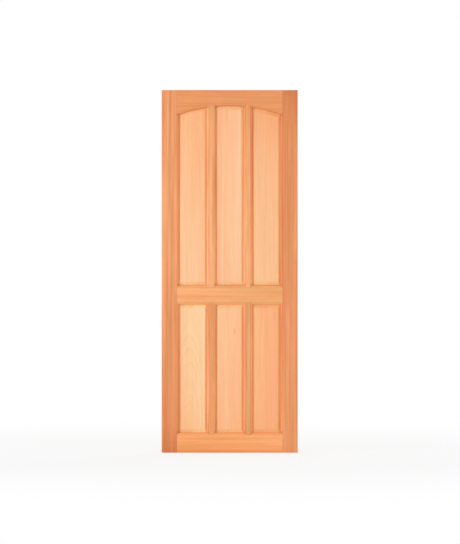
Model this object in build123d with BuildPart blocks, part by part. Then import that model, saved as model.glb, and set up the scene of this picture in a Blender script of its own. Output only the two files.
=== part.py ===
from build123d import *
import os

# Framed and panelled exterior door leaf: two stiles, an arched top rail, a lock rail, a bottom rail,
# four muntins and six raised panels. The rails are tenoned through the stiles and wedged from outside.
# Millimetres. X runs across the leaf from its hinge edge, Y through its thickness, Z up from its foot.
# The origin is on the hinge edge, at the foot and at mid thickness. The front looks towards -Y.

# Leaf
leaf_width = 750
leaf_height = 2000
leaf_thickness = 45
arris_radius = 1.5  # long outer corners

# Frame members, measured over their moulded edges
stile_width = 97
muntin_width = 53
muntin_spacing = 202  # between centre lines
bottom_rail_width = 111
lock_rail_width = 110
lock_rail_height = 870  # centre line above the foot
crown_width = 88  # top rail at the middle of the arch
arch_rise = 47  # sight edge, from the stiles to the crown

# Ovolo moulding on both faces of every inner edge, and the panel groove between the two
ovolo_radius = 9
fillet_width = 2  # flat strip on either side of the ovolo
quirk_depth = 2  # step from the face down to the first strip
groove_width = 14
groove_depth = 12

# Through tenons, as thick as the groove is wide, and the wedges that spread them
tenon_shoulder = 8  # between a groove and the tenon beside it
end_haunch = 36  # between a tenon and the head or foot of the leaf
wedge_length = 70
wedge_butt = 7
wedge_tip = 1

# Raised panels, alike on both faces
field_thickness = 29
field_step = 2  # from the top of the bevel up to the field
side_margin = 9  # from the sight edge of a stile or muntin to the field
end_margin = 16  # from the sight edge of a rail to the field
panel_reveal = 1  # flat of the tongue that shows before the bevel rises
panel_slack = 0.2  # between the tongue and each cheek of its groove
panel_play = 2  # room for the panel to swell, at its sides and top

# Places and sizes that follow
leaf_middle = leaf_width / 2
mid_plane = Plane.YZ.offset(leaf_middle)
face = leaf_thickness / 2
moulding_width = ovolo_radius + 2 * fillet_width
moulding_foot = face - quirk_depth - ovolo_radius
stile_face_width = stile_width - moulding_width
muntin_middle = leaf_middle - muntin_spacing / 2
side_opening = (stile_width, muntin_middle - muntin_width / 2)
middle_opening = (muntin_middle + muntin_width / 2, leaf_width - muntin_middle - muntin_width / 2)
lock_rail_foot = lock_rail_height - lock_rail_width / 2
lock_rail_head = lock_rail_height + lock_rail_width / 2
crown_height = leaf_height - crown_width
spring_height = crown_height - arch_rise
half_span = leaf_middle - stile_width
arch_radius = (half_span**2 + arch_rise**2) / (2 * arch_rise)
arch_centre = crown_height - arch_radius
tenon_inset = groove_depth + tenon_shoulder
tenon_heights = {
    "bottom_rail": (end_haunch, bottom_rail_width - tenon_inset),
    "lock_rail": (lock_rail_foot + tenon_inset, lock_rail_head - tenon_inset),
    "top_rail": (spring_height + tenon_inset, leaf_height - end_haunch),
}

pieces = {}

# What is cut from a member's edge to leave the two mouldings and the groove: the sight edge is at
# x = 0, the member lies on the -x side and y runs through the thickness.
with BuildSketch() as edge_waste:
    with BuildLine():
        Polyline(
            (-moulding_width + fillet_width, face - quirk_depth),
            (-moulding_width, face - quirk_depth),
            (-moulding_width, face),
            (0, face),
            (0, moulding_foot),
            (-fillet_width, moulding_foot),
        )
        CenterArc((-fillet_width - ovolo_radius, moulding_foot), ovolo_radius, 0, 90)
    make_face()
    mirror(about=Plane.XZ)
    with Locations((-groove_depth / 2, 0)):
        Rectangle(groove_depth, groove_width)


def mirrored(piece):
    """The same piece on the other side of the leaf."""
    with BuildPart() as twin:
        mirror(piece, about=mid_plane)
    return twin.part


def make_wedge(seat, outward):
    """Wedge on the edge of a tenon at a given height, driven in from the hinge edge."""
    with BuildPart() as wedge:
        with BuildSketch(Plane.XZ):
            with BuildLine():
                Polyline(
                    (0, seat),
                    (0, seat + outward * wedge_butt),
                    (wedge_length, seat + outward * wedge_tip),
                    (wedge_length, seat),
                    close=True,
                )
            make_face()
        extrude(amount=groove_width / 2, both=True)
    return wedge.part


for rail, (tenon_foot, tenon_head) in tenon_heights.items():
    for level, seat, outward in (("upper", tenon_head, 1), ("lower", tenon_foot, -1)):
        wedge = make_wedge(seat, outward)
        pieces[f"{rail}_left_{level}_wedge"] = wedge
        pieces[f"{rail}_right_{level}_wedge"] = mirrored(wedge)
wedges = list(pieces.values())

# Hinge stile: full height, moulded and grooved on its inner edge, mortised for the three rails
with BuildPart() as left_stile:
    with BuildSketch():
        with Locations((stile_width / 2, 0)):
            Rectangle(stile_width, leaf_thickness)
        fillet(vertices().group_by(Axis.X)[0], arris_radius)
        with Locations((stile_width, 0)):
            add(edge_waste.sketch, mode=Mode.SUBTRACT)
    extrude(amount=leaf_height)
    for tenon_foot, tenon_head in tenon_heights.values():
        with Locations((stile_width / 2, 0, (tenon_foot + tenon_head) / 2)):
            Box(stile_width, groove_width, tenon_head - tenon_foot, mode=Mode.SUBTRACT)
    add(wedges, mode=Mode.SUBTRACT)
pieces["left_stile"] = left_stile.part
pieces["right_stile"] = mirrored(left_stile.part)
stiles = [pieces["left_stile"], pieces["right_stile"]]


def make_straight_rail(foot, head, opening_below):
    """Rail moulded towards its openings, scribed over the stiles' mouldings and tenoned through."""
    core_foot = foot + groove_depth if opening_below else foot
    core_head = head - groove_depth
    with BuildPart() as rail:
        with BuildSketch(Plane.YZ.offset(stile_face_width)):
            with Locations((0, (foot + head) / 2)):
                Rectangle(leaf_thickness, head - foot)
            with Locations((0, head)):
                add(edge_waste.sketch, rotation=90, mode=Mode.SUBTRACT)
            if opening_below:
                with Locations((0, foot)):
                    add(edge_waste.sketch, rotation=-90, mode=Mode.SUBTRACT)
        extrude(amount=leaf_width - 2 * stile_face_width)
        with BuildSketch(Plane.YZ):
            with Locations((0, (core_foot + core_head) / 2)):
                Rectangle(groove_width, core_head - core_foot)
        extrude(amount=leaf_width)
        add(stiles + wedges, mode=Mode.SUBTRACT)
    return rail.part


pieces["bottom_rail"] = make_straight_rail(0, bottom_rail_width, opening_below=False)
pieces["lock_rail"] = make_straight_rail(lock_rail_foot, lock_rail_head, opening_below=True)

# Top rail: a straight board whose lower edge is sawn, moulded and grooved along the arch
with BuildPart() as top_rail:
    board_foot = spring_height - moulding_width
    with Locations((leaf_middle, 0, (board_foot + leaf_height) / 2)):
        Box(leaf_width - 2 * stile_face_width, leaf_thickness, leaf_height - board_foot)
        Box(leaf_width, groove_width, leaf_height - board_foot)
    with BuildSketch(Plane.XZ):
        with Locations((leaf_middle, arch_centre)):
            Circle(arch_radius)
    extrude(amount=face, both=True, mode=Mode.SUBTRACT)
    with BuildSketch(mid_plane):
        with Locations((0, crown_height)):
            add(edge_waste.sketch, rotation=-90)
    revolve(axis=Axis((leaf_middle, 0, arch_centre), (0, 1, 0)), mode=Mode.SUBTRACT)
    add(stiles + wedges, mode=Mode.SUBTRACT)
pieces["top_rail"] = top_rail.part


def make_muntin(foot, head, rails):
    """Upright moulded on both edges, scribed over the rails' mouldings and stubbed into their grooves."""
    with BuildPart() as muntin:
        with BuildSketch(Plane.XY.offset(foot - moulding_width)):
            with Locations((muntin_middle, 0)):
                Rectangle(muntin_width, leaf_thickness)
            with Locations((muntin_middle + muntin_width / 2, 0)):
                add(edge_waste.sketch, mode=Mode.SUBTRACT)
            with Locations((muntin_middle - muntin_width / 2, 0)):
                add(edge_waste.sketch, rotation=180, mode=Mode.SUBTRACT)
        extrude(amount=head - foot + 2 * moulding_width)
        with BuildSketch(Plane.XY.offset(foot - groove_depth)):
            with Locations((muntin_middle, 0)):
                Rectangle(muntin_width - 2 * groove_depth, groove_width)
        extrude(amount=head - foot + 2 * groove_depth)
        add(rails, mode=Mode.SUBTRACT)
    return muntin.part


lower_muntin = make_muntin(bottom_rail_width, lock_rail_foot, [pieces["bottom_rail"], pieces["lock_rail"]])
upper_muntin = make_muntin(lock_rail_head, crown_height, [pieces["lock_rail"], pieces["top_rail"]])
for level, muntin in (("lower", lower_muntin), ("upper", upper_muntin)):
    pieces[f"{level}_left_muntin"] = muntin
    pieces[f"{level}_right_muntin"] = mirrored(muntin)


def opening_outline(sides, foot, head, arched, side_inset, head_inset, foot_inset):
    """Outline of a panel opening, drawn in by the insets or grown where they are negative."""
    left = sides[0] + side_inset
    right = sides[1] - side_inset
    low = foot + foot_inset
    high = head - head_inset
    with BuildSketch() as outline:
        with Locations(((left + right) / 2, (low + high) / 2)):
            Rectangle(right - left, high - low)
        if arched:
            with Locations((leaf_middle, arch_centre)):
                Circle(arch_radius - head_inset, mode=Mode.INTERSECT)
    return outline.sketch


def make_panel(*opening):
    """Raised panel: a tongue seated in the grooves, and on each face a bevel that rises to a flat field."""
    tongue_half = groove_width / 2 - panel_slack
    bevel_top = field_thickness / 2 - field_step
    tongue_inset = panel_play - groove_depth
    field = opening_outline(*opening, side_margin, end_margin, end_margin)
    with BuildPart() as panel:
        with BuildSketch(Plane.XZ):
            add(opening_outline(*opening, tongue_inset, tongue_inset, -groove_depth))
        extrude(amount=tongue_half)
        with BuildSketch(Plane.XZ.offset(tongue_half)):
            add(opening_outline(*opening, panel_reveal, panel_reveal, panel_reveal))
        with BuildSketch(Plane.XZ.offset(bevel_top)):
            add(field)
        loft(ruled=True)
        with BuildSketch(Plane.XZ.offset(bevel_top)):
            add(field)
        extrude(amount=field_step)
        mirror(about=Plane.XZ)
    return panel.part


for level, foot, head, arched in (
    ("lower", bottom_rail_width, lock_rail_foot, False),
    ("upper", lock_rail_head, crown_height, True),
):
    side_panel = make_panel(side_opening, foot, head, arched)
    pieces[f"{level}_left_panel"] = side_panel
    pieces[f"{level}_middle_panel"] = make_panel(middle_opening, foot, head, arched)
    pieces[f"{level}_right_panel"] = mirrored(side_panel)

os.makedirs("parts", exist_ok=True)
for name, piece in pieces.items():
    piece.label = name
    export_step(piece, f"parts/{name}.step")
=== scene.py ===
import math
import bpy
import bmesh
from mathutils import Color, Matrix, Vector


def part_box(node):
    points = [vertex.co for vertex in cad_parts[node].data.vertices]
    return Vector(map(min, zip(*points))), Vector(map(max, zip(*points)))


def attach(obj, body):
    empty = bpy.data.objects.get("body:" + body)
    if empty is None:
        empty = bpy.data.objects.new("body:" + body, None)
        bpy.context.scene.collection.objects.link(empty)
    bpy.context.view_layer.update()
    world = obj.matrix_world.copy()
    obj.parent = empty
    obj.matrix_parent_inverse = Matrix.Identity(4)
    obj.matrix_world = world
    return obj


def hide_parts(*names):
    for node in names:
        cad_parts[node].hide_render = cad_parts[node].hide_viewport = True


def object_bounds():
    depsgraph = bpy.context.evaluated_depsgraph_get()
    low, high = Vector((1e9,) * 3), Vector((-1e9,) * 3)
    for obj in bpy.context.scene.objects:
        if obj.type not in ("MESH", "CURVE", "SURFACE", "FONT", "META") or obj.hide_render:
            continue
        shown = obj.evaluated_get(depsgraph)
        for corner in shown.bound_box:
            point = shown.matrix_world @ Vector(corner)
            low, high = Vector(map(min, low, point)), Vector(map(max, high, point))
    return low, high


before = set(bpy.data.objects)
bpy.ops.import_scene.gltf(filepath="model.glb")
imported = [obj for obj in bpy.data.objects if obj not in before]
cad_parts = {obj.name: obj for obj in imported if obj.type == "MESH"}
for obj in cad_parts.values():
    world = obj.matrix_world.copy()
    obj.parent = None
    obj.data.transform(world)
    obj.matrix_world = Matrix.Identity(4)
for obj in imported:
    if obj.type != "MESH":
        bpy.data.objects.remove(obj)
cadBox = [list(corner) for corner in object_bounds()]
leafLow, leafHigh = (Vector(corner) for corner in cadBox)
leafCentre = (leafLow + leafHigh) / 2
perMetre = 1000  # shapes are in metres, grain is set in millimetres
scene = bpy.context.scene
scene.view_settings.view_transform = "Standard"
print("leaf loaded:", len(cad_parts), "nodes")


class Wire:  # a shader socket that can stand in a sum
    def __init__(self, socket):
        self.socket = socket
        self.tree = socket.id_data

    def sum(self, operation, *values):
        node = addNode(self.tree, "Math", {"operation": operation}, dict(enumerate(values)))
        return Wire(node.outputs[0])

    def __add__(self, other):
        return self.sum("ADD", self, other)

    def __radd__(self, other):
        return self.sum("ADD", other, self)

    def __sub__(self, other):
        return self.sum("SUBTRACT", self, other)

    def __rsub__(self, other):
        return self.sum("SUBTRACT", other, self)

    def __mul__(self, other):
        return self.sum("MULTIPLY", self, other)

    def __rmul__(self, other):
        return self.sum("MULTIPLY", other, self)

    def __truediv__(self, other):
        return self.sum("DIVIDE", self, other)

    def __rtruediv__(self, other):
        return self.sum("DIVIDE", other, self)

    def __pow__(self, other):
        return self.sum("POWER", self, other)

    def __rpow__(self, other):
        return self.sum("POWER", other, self)

    def __abs__(self):
        return self.sum("ABSOLUTE", self)

    def fraction(self):
        return self.sum("FRACT", self)

    def whole(self):
        return self.sum("FLOOR", self)

    def root(self):
        return self.sum("SQRT", self)

    def step(self, low, high):  # soft step from 0 at low to 1 at high
        span = {"Value": self, "From Min": low, "From Max": high}
        return Wire(addNode(self.tree, "MapRange", {"interpolation_type": "SMOOTHSTEP"}, span).outputs[0])

    def ramp(self, stops):  # grey level at each place from 0 to 1
        return Wire(addNode(self.tree, "ValToRGB", {"stops": stops}, {0: self}).outputs[0])


def setStops(elements, stops):  # a new ramp has two stops already
    for place, _ in stops[2:]:
        elements.new(place)
    for element, (place, level) in zip(elements, stops):
        element.position = place
        element.color = (level, level, level, 1)


def addNode(tree, kind, settings=None, sockets=None):  # settings first, then values or links
    node = tree.nodes.new("ShaderNode" + kind)
    for name, value in (settings or {}).items():
        if name == "stops":
            setStops(node.color_ramp.elements, value)
        else:
            setattr(node, name, value)
    for name, value in (sockets or {}).items():
        if isinstance(value, Wire):
            value = value.socket
        if isinstance(value, bpy.types.NodeSocket):
            tree.links.new(value, node.inputs[name])
        else:
            node.inputs[name].default_value = value
    return node


def screenColour(*levels):  # 0-255 on screen to the scene's own values
    return [*Color([level / 255 for level in levels]).from_srgb_to_scene_linear(), 1]


def tint(tree, factor, colour, shade):  # a Mix node takes its colours at 6 and 7 and gives one at 2
    multiply = {"data_type": "RGBA", "blend_type": "MULTIPLY", "clamp_result": True}
    return addNode(tree, "Mix", multiply, {0: factor, 6: colour, 7: shade}).outputs[2]


# timber: rings round a pith that lies off the board, so face, edge and end grain belong together (mm)
timber = {
    "markings": {  # how wide and long each one is, how fine, and a shift that keeps it apart from the rest
        "wander": {"wide": 70, "long": 900, "detail": 2.0, "shift": 0.0},
        "streak": {"wide": 13, "long": 520, "detail": 3.0, "shift": 3.1},
        "blush": {"wide": 20, "long": 330, "detail": 2.0, "shift": 4.4},
        "fibre": {"wide": 0.8, "long": 45, "detail": 3.0, "shift": 5.7},
        "cloud": {"wide": 90, "long": 450, "detail": 2.0, "shift": 8.3},
        "mottle": {"wide": 12, "long": 110, "detail": 2.0, "shift": 11.9},
    },
    "wander": 16.0,  # rings are never quite straight
    "yearPace": 0.04, "yearWidth": 3.5,  # how soon and how much wide and narrow years take turns
    "year": ((0, 0.1), (0.5, 0.2), (0.84, 0.95), (0.93, 1), (1, 0.1)),  # spring wood into summer wood
    "paleYear": 0.4,  # the palest year beside the darkest
    # tints, and where each one starts and ends
    "summer": (0.84, 0.72, 0.6, 1), "pink": (1.03, 0.93, 1.0, 1), "tan": (0.93, 1.0, 0.88, 1),
    "rim": (1.05, 0.95, 0.84, 1), "worn": (0.93, 0.86, 0.78, 1), "knot": (0.96, 0.79, 0.65, 1),
    # painted shade where mouldings meet
    "corner": (0.86, 0.78, 0.7, 1),
    "blushStep": (0.0, 0.2), "sideStep": (-10, 10), "rimStep": (38, 46), "cornerStep": (4, 11),
    "endStep": (0.5, 0.95), "endContrast": 0.4, "endDark": 0.26,  # end grain, by how squarely it faces out
    "fibreTone": 0.12, "wornTone": 0.7,
    "bluePower": 1.5,  # blue falls faster than the tone, and red falls slower
    "roughness": 0.52, "roughFibre": 0.2, "roughCloud": 0.15, "roughRing": 0.06, "roughEnd": 0.12,
    "relief": 0.00006, "reliefRing": 0.6, "reliefStrength": 0.6,  # relief in metres
    "gloss": 0.3,
}


def makeMarking(tree, grain, kind, seed):  # stretched noise about 0
    marking = timber["markings"][kind]
    spread = (1 / marking["wide"], 1 / marking["wide"], 1 / marking["long"])
    stretched = addNode(tree, "VectorMath", {"operation": "MULTIPLY"}, {0: grain, 1: spread}).outputs[0]
    noise = addNode(tree, "TexNoise", {"noise_dimensions": "4D"}, {
        "Vector": stretched, "W": seed + marking["shift"], "Scale": 1.0, "Detail": marking["detail"]})
    return Wire(noise.outputs[0]) - 0.5


def makeRings(tree, radius, board):  # 0 in spring wood, up to 1 in summer wood
    pace = radius * timber["yearPace"] + board["seed"]
    years = addNode(tree, "TexNoise", {"noise_dimensions": "1D"}, {"W": pace, "Scale": 1.0, "Detail": 1.0})
    phase = radius / board["ring"] + Wire(years.outputs[0]) * timber["yearWidth"]
    year = addNode(tree, "TexWhiteNoise", {"noise_dimensions": "1D"}, {"W": phase.whole() + board["seed"]})
    yearTone = Wire(year.outputs[0]) * (1 - timber["paleYear"]) + timber["paleYear"]
    return phase.fraction().ramp(timber["year"]) * yearTone


def readMark(tree, name):  # a value that the piece keeps on its faces
    return Wire(addNode(tree, "Attribute", {"attribute_name": name}).outputs["Fac"])


def makeTimber(name, node, board):
    material = bpy.data.materials.new(name)
    material.use_nodes = True
    tree = material.node_tree
    shader = tree.nodes["Principled BSDF"]
    low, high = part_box(node)
    middle = (low + high) / 2
    level = board["along"] == "x"
    length = ((high - low).x if level else (high - low).z) * perMetre
    grain = addNode(tree, "Mapping", {"vector_type": "TEXTURE"}, {
        "Vector": addNode(tree, "TexCoord").outputs["Object"], "Location": middle,
        "Rotation": (0, math.pi / 2 if level else 0, 0), "Scale": [1 / perMetre] * 3}).outputs[0]
    across, through, along = (Wire(axis) for axis in addNode(tree, "SeparateXYZ", None, {0: grain}).outputs)
    wander, streak, blush, fibre, cloud, mottle = (
        makeMarking(tree, grain, kind, board["seed"]) for kind in timber["markings"])

    acrossPith = across - board["pith"][0] - along * board["lean"][0]
    throughPith = through - board["pith"][1] - along * board["lean"][1]
    radius = (acrossPith * acrossPith + throughPith * throughPith).root() + wander * timber["wander"]
    if "knot" in board:  # rings swell round a pin knot
        knot = board["knot"]
        acrossKnot = across - knot["across"]
        alongKnot = (along - knot["along"]) * knot["squeeze"]
        knotReach = (acrossKnot * acrossKnot + alongKnot * alongKnot).root() / knot["size"]
        radius = radius + knot["swell"] / (1.0 + knotReach * knotReach)
    ring = makeRings(tree, radius, board)
    facing = addNode(tree, "SeparateXYZ", None, {0: addNode(tree, "NewGeometry").outputs["Normal"]})
    endGrain = abs(Wire(facing.outputs["X" if level else "Z"])).step(*timber["endStep"])
    # painted light and shade in the mouldings and on the bevels, by depth below the face
    recess = readMark(tree, "depth").step(*board["deep"])
    worn = readMark(tree, "worn")

    # summer wood over the board's own colour, then pink and tan streaks
    summer = ring * (endGrain * timber["endContrast"] + board["contrast"])
    colour = tint(tree, summer, screenColour(*board["colour"]), timber["summer"])
    colour = tint(tree, blush.step(*timber["blushStep"]) * board["blush"], colour, timber["pink"])
    colour = tint(tree, (0.0 - blush).step(*timber["blushStep"]) * board["blush"], colour, timber["tan"])

    # painted shade and light in the left or upper moulding, then in the other, and painted shade where
    # mouldings meet
    side = across.step(*timber["sideStep"])
    for share, shade in zip((1.0 - side, side), board["recess"]):
        colour = tint(tree, recess * share, colour, (*shade, 1))
    # painted shade in the corners where mouldings meet
    for height in board.get("corners", ()):
        corner = 1.0 - abs(along - (height - middle.z) * perMetre).step(*timber["cornerStep"])
        colour = tint(tree, recess * corner, colour, timber["corner"])
    colour = tint(tree, worn * (fibre + timber["wornTone"]), colour, timber["worn"])
    if "rim" in board:  # outer edge, tinted redder and less blue
        colour = tint(tree, (across * board["rim"]).step(*timber["rimStep"]), colour, timber["rim"])
    if "knot" in board:
        colour = tint(tree, 1.0 - knotReach.step(*knot["fade"]), colour, timber["knot"])

    # light and dark, with darker wood redder
    tone = (along / length + 0.5).ramp(board["drift"]) * (across * board.get("slope", 0.0) + 1.0)
    tone = tone * (cloud * board["cloud"] + 1.0) * (mottle * board["mottle"] + 1.0)
    tone = tone * (1.0 - streak * board["streak"]) * (fibre * timber["fibreTone"] + 1.0)
    tone = tone * (1.0 - endGrain * timber["endDark"])
    toneColour = addNode(tree, "CombineColor", None, {
        0: tone ** board["red"], 1: tone, 2: tone ** timber["bluePower"]}).outputs[0]
    colour = tint(tree, 1.0, colour, toneColour)

    roughness = timber["roughness"] + fibre * timber["roughFibre"] + cloud * timber["roughCloud"]
    roughness = roughness - ring * timber["roughRing"] + (endGrain + worn) * timber["roughEnd"]
    bump = addNode(tree, "Bump", None, {
        "Height": ring * timber["reliefRing"] + fibre, "Strength": timber["reliefStrength"],
        "Distance": timber["relief"]})
    tree.links.new(colour, shader.inputs["Base Color"])
    tree.links.new(roughness.socket, shader.inputs["Roughness"])
    tree.links.new(bump.outputs[0], shader.inputs["Normal"])
    shader.inputs["Specular IOR Level"].default_value = timber["gloss"]
    return material


# arrises: every piece is a merged copy of its node with its outer corners eased, which draws the joint lines
arris = {
    "width": 0.0005, "rounds": 2, "sharp": math.radians(40),  # what is eased, and how
    "merge": 0.000002, "flat": math.radians(0.2), "smooth": math.radians(20),
    "near": 0.00002, "margin": 0.0015,  # how close counts as on a flat, and as outside
}


def easeArrises(node, name, body="root"):
    low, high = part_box(node)
    sides = [(0, leafLow.x), (0, leafHigh.x), (2, leafLow.z), (2, leafHigh.z)]
    flats = sides + [(1, low.y), (1, high.y)]
    shape = bmesh.new()
    shape.from_mesh(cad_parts[node].data)
    bmesh.ops.remove_doubles(shape, verts=shape.verts, dist=arris["merge"])
    bmesh.ops.dissolve_limit(shape, angle_limit=arris["flat"], verts=shape.verts, edges=shape.edges)
    corners = []
    for edge in shape.edges:
        onFlat = any(
            all(abs(vert.co[axis] - place) < arris["near"] for vert in edge.verts) for axis, place in flats)
        if onFlat and len(edge.link_faces) == 2 and edge.calc_face_angle() > arris["sharp"]:
            corners.append(edge)
    depth = shape.faces.layers.float.new("depth")  # mm below the face, in the mouldings and on the bevels
    worn = shape.faces.layers.float.new("worn")  # 1 on the eased corners
    eased = bmesh.ops.bevel(
        shape, geom=corners, offset=arris["width"], offset_type="OFFSET", segments=arris["rounds"],
        profile=0.5, affect="EDGES", clamp_overlap=True, material=-1)["faces"]
    for face in eased:
        face[worn] = 1.0
    for face in shape.faces:
        centre = face.calc_center_median()
        outside = any(abs(centre[axis] - place) < arris["margin"] for axis, place in sides)
        face[depth] = 0.0 if outside else (high.y - abs(centre.y)) * perMetre
        face.smooth = True
    mesh = bpy.data.meshes.new(name)
    shape.to_mesh(mesh)
    shape.free()
    mesh.set_sharp_from_angle(angle=arris["smooth"])
    piece = bpy.data.objects.new(name, mesh)
    scene.collection.objects.link(piece)
    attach(piece, body)
    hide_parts(node)
    return piece


def dress(node, board):
    words = node.split("_")
    name = words[0] + "".join(word.capitalize() for word in words[1:])
    piece = easeArrises(node, name)
    piece.data.materials.clear()
    piece.data.materials.append(makeTimber(name + "Timber", node, board))


# boards: the pith lies across and through from the board's middle and leans along it, a ring is a year (mm),
# the recess tints paint light and shade on the left or upper moulding and then the other, the drift is light
# and dark from foot to head or from left to right, the slope is light and dark across, corners are heights
# where mouldings meet, with painted shade there
stiles = {
    "left_stile": {
        "colour": (240, 163, 112), "seed": 96.1, "pith": (170, 35), "lean": (0.004, 0.01), "ring": 3.4,
        "rim": -1, "recess": ((1, 1, 1), (1.17, 1.06, 0.88)),
        "drift": ((0, 0.58), (0.08, 0.77), (0.45, 0.95), (0.7, 0.98), (0.85, 0.89)),
    },
    "right_stile": {
        "colour": (239, 159, 107), "seed": 2.0, "pith": (-160, 40), "lean": (-0.004, 0.01), "ring": 3.1,
        "rim": 1, "recess": ((0.98, 0.87, 0.8), (1, 1, 1)),
        "drift": ((0, 0.95), (0.15, 1.0), (0.5, 0.88), (0.72, 0.9), (0.85, 0.86), (1, 0.66)),
    },
}
stileTimber = {  # strength of each marking, power of red, depths where the painted light and shade of the mouldings starts and is full
    "along": "z", "contrast": 0.55, "streak": 1.1, "blush": 0.95, "cloud": 0.15, "mottle": 0.18, "red": 0.48,
    "deep": (1, 2),
    "corners": [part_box("bottom_rail")[1].z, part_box("lock_rail")[1].z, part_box("top_rail")[0].z],
}
for node, board in stiles.items():
    dress(node, {**stileTimber, **board})

rails = {
    "top_rail": {
        "colour": (235, 155, 99), "seed": 3.0, "pith": (-150, 30), "lean": (0.01, 0.01), "ring": 3.6,
        "streak": 0.55, "recess": ((0.96, 0.92, 0.86), (0.96, 0.92, 0.86)), "drift": ((0, 1.0), (1, 1.0)),
    },
    "lock_rail": {
        "colour": (251, 178, 120), "seed": 4.0, "pith": (-120, 50), "lean": (0.02, 0.0), "ring": 4.0,
        "streak": 0.5, "recess": ((0.91, 0.86, 0.82), (1.0, 1.07, 1.04)),
        "drift": ((0, 1.0), (0.5, 0.955), (1, 0.91)),
    },
    "bottom_rail": {
        "colour": (255, 176, 115), "seed": 290.3, "pith": (130, 40), "lean": (-0.02, 0.0), "ring": 3.6,
        "streak": 0.85, "recess": ((0.93, 0.83, 0.78), (1, 1, 1)), "slope": -0.0012,
        "drift": ((0, 0.89), (0.5, 0.93), (1, 1.0)),
    },
}
railTimber = {
    "along": "x", "contrast": 0.42, "blush": 0.85, "cloud": 0.15, "mottle": 0.2, "red": 0.62, "deep": (2, 5),
}
for node, board in rails.items():
    dress(node, {**railTimber, **board})

muntins = {
    "upper_left_muntin": {
        "colour": (251, 186, 135), "seed": 291.3, "pith": (90, 60),
        "recess": ((1.05, 0.97, 0.87), (1.14, 0.96, 0.76)),
        "drift": ((0, 1.0), (0.1, 1.0), (0.4, 0.87), (0.56, 0.78), (0.74, 0.81), (0.9, 0.86), (1, 0.76)),
    },
    "upper_right_muntin": {
        "colour": (250, 176, 120), "seed": 133.8, "pith": (-80, 60),
        "recess": ((1.0, 1.02, 1.0), (1.06, 0.97, 0.85)),
        "drift": ((0, 0.98), (0.3, 0.94), (0.56, 0.88), (0.74, 0.83), (1, 0.8)),
    },
    "lower_left_muntin": {
        "colour": (242, 174, 118), "seed": 420.1, "pith": (-90, 50),
        "recess": ((1.12, 0.93, 0.9), (1.2, 1.16, 1.02)),
        "drift": ((0, 0.9), (0.2, 1.0), (0.36, 0.97), (0.55, 0.89), (0.73, 0.82), (1, 0.78)),
    },
    "lower_right_muntin": {
        "colour": (234, 165, 111), "seed": 135.8, "pith": (85, 50),
        "recess": ((1.08, 0.88, 0.84), (1.22, 1.2, 1.06)),
        "drift": ((0, 0.92), (0.15, 0.98), (0.5, 0.96), (0.75, 0.99), (1, 0.97)),
    },
}
muntinTimber = {
    "along": "z", "lean": (0.0, 0.01), "ring": 3.0, "contrast": 0.5, "streak": 1.2, "blush": 1.0,
    "cloud": 0.12, "mottle": 0.3, "red": 0.45, "deep": (1, 2),
}
mouldingWidth = 0.013  # how far a muntin reaches over the mouldings of its rails
for node, board in muntins.items():
    low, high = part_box(node)
    corners = [low.z + mouldingWidth]
    if node.startswith("upper"):
        corners.append(high.z - mouldingWidth)
    dress(node, {**muntinTimber, **board, "corners": corners})

panels = {
    "upper_left_panel": {
        "colour": (255, 203, 155), "seed": 327.0, "pith": (-130, 100), "lean": (0.01, 0.03), "ring": 4.5,
        "slope": -0.0006, "drift": ((0, 0.97), (0.3, 0.96), (0.65, 0.87), (1, 0.8)),
    },
    "upper_middle_panel": {
        "colour": (255, 201, 156), "seed": 169.5, "pith": (150, 90), "lean": (0.0, 0.03), "ring": 4.2,
        "slope": 0.001, "drift": ((0, 0.94), (0.35, 0.98), (0.65, 0.94), (1, 0.88)),
    },
    "upper_right_panel": {
        "colour": (255, 199, 149), "seed": 170.5, "pith": (140, 110), "lean": (0.01, 0.03), "ring": 4.8,
        "drift": ((0, 0.97), (0.4, 0.95), (0.75, 0.87), (1, 0.75)),
    },
    "lower_left_panel": {
        "colour": (255, 210, 161), "seed": 110.1, "pith": (-20, 120), "lean": (0.03, 0.09), "ring": 8.0,
        "slope": 0.0012, "drift": ((0, 0.88), (0.5, 0.96), (1, 1.0)),
    },
    "lower_middle_panel": {
        "colour": (255, 198, 148), "seed": 111.1, "pith": (120, 100), "lean": (0.0, 0.05), "ring": 4.6,
        "slope": -0.0005, "drift": ((0, 0.93), (1, 1.0)),
        "knot": {
            "across": 26.5, "along": 207.0, "size": 5.5, "squeeze": 0.45,  # longer than wide
            "swell": 9.0, "fade": (0.3, 2.0),
        },
    },
    "lower_right_panel": {
        "colour": (254, 185, 133), "seed": 302.3, "pith": (-110, 110), "lean": (0.0, 0.04), "ring": 4.4,
        "slope": -0.0009, "drift": ((0, 0.96), (1, 1.0)),
    },
}
panelTimber = {
    "along": "z", "contrast": 0.26, "streak": 0.35, "blush": 0.4, "cloud": 0.1, "mottle": 0.12, "red": 0.12,
    "deep": (1, 2),
}
bevels = {  # painted light and shade on the bevels of the upper and of the lower panels
    "upper": ((1.0, 1.06, 0.98), (1.0, 1.0, 0.88)),
    "lower": ((0.98, 0.97, 0.88), (1.0, 1.08, 0.97)),
}
for node, board in panels.items():
    dress(node, {**panelTimber, **board, "recess": bevels[node.split("_")[0]]})

wedges = {
    "colour": (238, 176, 126), "seed": 20.0, "pith": (30, 20), "lean": (0.0, 0.0), "ring": 3.0, "along": "x",
    "contrast": 0.4, "streak": 0.3, "blush": 0.4, "cloud": 0.2, "mottle": 0.15, "red": 0.5, "deep": (1, 2),
    "recess": ((1, 1, 1), (1, 1, 1)), "drift": ((0, 1.0), (1, 1.0)),
}
for number, node in enumerate(sorted(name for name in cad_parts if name.endswith("_wedge"))):
    dress(node, {**wedges, "seed": wedges["seed"] + number})

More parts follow.
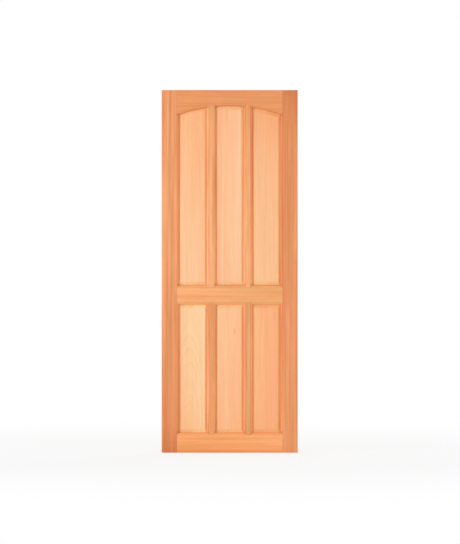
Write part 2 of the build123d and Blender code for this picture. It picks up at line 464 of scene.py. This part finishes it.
# studio: a pale floor that runs out into white, soft light all round, a broad lamp on each face
studio = {
    "floorSize": 40.0, "floorColour": (0.9, 0.9, 0.9, 1), "floorWhite": 0.75, "fadeFrom": 1.2, "fadeTo": 4.0,
    "sky": 0.79,
    "keyAngle": 56.0, "keyFar": 9.0, "keyHeight": 1.0, "keySize": 3.0, "keyPower": 350.0,
    "backAngle": 215.0, "backFar": 8.0, "backHeight": 2.2, "backSize": 3.0, "backPower": 175.0,
}


def seenDirectly(tree):  # 1 on camera, glossy and transmission rays
    rays = addNode(tree, "LightPath").outputs
    return Wire(rays["Is Camera Ray"]) + rays["Is Glossy Ray"] + rays["Is Transmission Ray"]


def makeFloor():
    shape = bmesh.new()
    bmesh.ops.create_grid(shape, x_segments=1, y_segments=1, size=studio["floorSize"])
    mesh = bpy.data.meshes.new("floor")
    shape.to_mesh(mesh)
    shape.free()
    floor = bpy.data.objects.new("floor", mesh)
    scene.collection.objects.link(floor)
    material = bpy.data.materials.new("floorWhite")
    material.use_nodes = True
    tree = material.node_tree
    tree.nodes.clear()
    offset = addNode(tree, "VectorMath", {"operation": "DISTANCE"}, {
        0: addNode(tree, "TexCoord").outputs["Object"], 1: (leafCentre.x, leafCentre.y, 0)})
    fade = Wire(offset.outputs["Value"]).step(studio["fadeFrom"], studio["fadeTo"])
    white = fade * (1 - studio["floorWhite"]) + studio["floorWhite"]
    matt = addNode(tree, "BsdfDiffuse", None, {"Color": studio["floorColour"]})
    glow = addNode(tree, "Emission", None, {"Strength": 1.0})  # 1 is white
    mixed = addNode(tree, "MixShader", None, {
        0: seenDirectly(tree) * white, 1: matt.outputs[0], 2: glow.outputs[0]})
    addNode(tree, "OutputMaterial", None, {0: mixed.outputs[0]})
    mesh.materials.append(material)


def makeLamp(name, angle, far, height, size, power):  # angle round the leaf, 0 straight in front, to the left
    lamp = bpy.data.lights.new(name, "AREA")
    lamp.size = size
    lamp.energy = power
    stand = bpy.data.objects.new(name, lamp)
    turn = math.radians(angle)
    stand.location = (leafCentre.x - far * math.sin(turn), leafCentre.y - far * math.cos(turn), height)
    stand.rotation_euler = (leafCentre - stand.location).to_track_quat("-Z", "Y").to_euler()
    scene.collection.objects.link(stand)


def makeSky():
    scene.world = bpy.data.worlds.new("studioSky")
    scene.world.use_nodes = True
    tree = scene.world.node_tree
    tree.nodes.clear()
    strength = seenDirectly(tree) * (1 - studio["sky"]) + studio["sky"]
    sky = addNode(tree, "Background", None, {"Color": (1, 1, 1, 1), "Strength": strength})
    addNode(tree, "OutputWorld", None, {0: sky.outputs[0]})


makeFloor()
makeSky()
for lampName in ("key", "back"):
    makeLamp(lampName, *(studio[lampName + part] for part in ("Angle", "Far", "Height", "Size", "Power")))
print("studio lit")

# camera: square to the front and far off, a little right of the middle and below it (lens and sensor in mm)
camera = {"lens": 200.0, "sensor": 36.0, "far": 16.667, "right": 0.0018, "down": 0.0033, "clip": 200.0}


def makeCamera():
    lens = bpy.data.cameras.new("photoCamera")
    lens.lens = camera["lens"]
    lens.sensor_width = camera["sensor"]
    lens.clip_end = camera["clip"]
    view = bpy.data.objects.new("photoCamera", lens)
    view.location = (leafCentre.x + camera["right"], leafLow.y - camera["far"], leafCentre.z - camera["down"])
    view.rotation_euler = (math.pi / 2, 0, 0)
    scene.collection.objects.link(view)
    scene.camera = view


makeCamera()
